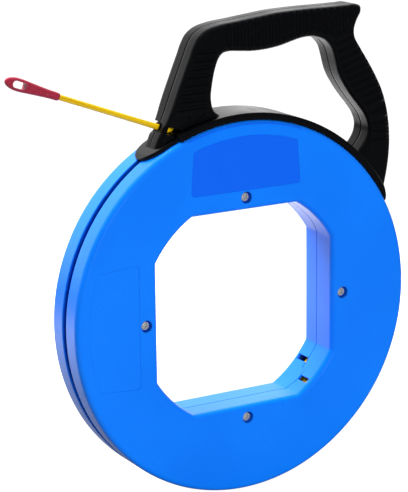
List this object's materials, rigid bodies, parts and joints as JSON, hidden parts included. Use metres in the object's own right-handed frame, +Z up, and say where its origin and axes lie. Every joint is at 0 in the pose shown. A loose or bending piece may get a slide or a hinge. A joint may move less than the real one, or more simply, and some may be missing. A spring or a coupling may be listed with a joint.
{
  "type": "fish tape reel",
  "caption": "Fish tape reel: a round hollow case that spins inside a fixed ribbed handle and feeds a stiff round tape, tipped with an eyelet, out through the handle's front foot.",
  "frame": {"origin": "centre of the case, on its spin axis and midway between its faces", "axes": "+Z up through the grip, +Y from the front face to the back face along the spin axis, the tape leaves towards -X"},
  "size_m": [0.3647, 0.0452, 0.4063],
  "materials": {
    "blue_plastic": "gloss",
    "black_plastic": "satin",
    "yellow_fibreglass": "satin",
    "crimson_plastic": "satin",
    "screw_steel": "bright zinc",
    "natural_acetal": "satin"
  },
  "bodies": {
    "handle": {"front_slider": "natural_acetal", "front_slider_screw_1": "screw_steel", "handle_front_half": "black_plastic", "handle_rear_half": "black_plastic", "handle_screw_front_leg": "screw_steel", "handle_screw_grip_front": "screw_steel", "handle_screw_grip_rear": "screw_steel", "handle_screw_rear_leg": "screw_steel", "rear_slider": "natural_acetal", "rear_slider_screw_1": "screw_steel", "rear_slider_screw_2": "screw_steel", "shoe": "black_plastic", "tape_guide": "natural_acetal"},
    "case": {"anchor_screw": "screw_steel", "case_screw_1": "screw_steel", "case_screw_2": "screw_steel", "case_screw_3": "screw_steel", "case_screw_4": "screw_steel", "front_shell": "blue_plastic", "rear_shell": "blue_plastic", "tape_anchor": "natural_acetal", "tape_coil": "yellow_fibreglass"},
    "tape": {"tape_run": "yellow_fibreglass", "tape_lead": "yellow_fibreglass", "eyelet": "crimson_plastic"}
  },
  "joints": [
    {"name": "case_spin", "type": "hinge", "parent": "handle", "child": "case", "pos_m": [0, 0, 0], "axis": [0, 1, 0], "continuous": true},
    {"name": "tape_feed", "type": "slide", "parent": "handle", "child": "tape", "axis": [-0.9348, 0, 0.3551], "range_m": [-0.085, 0.06]}
  ]
}
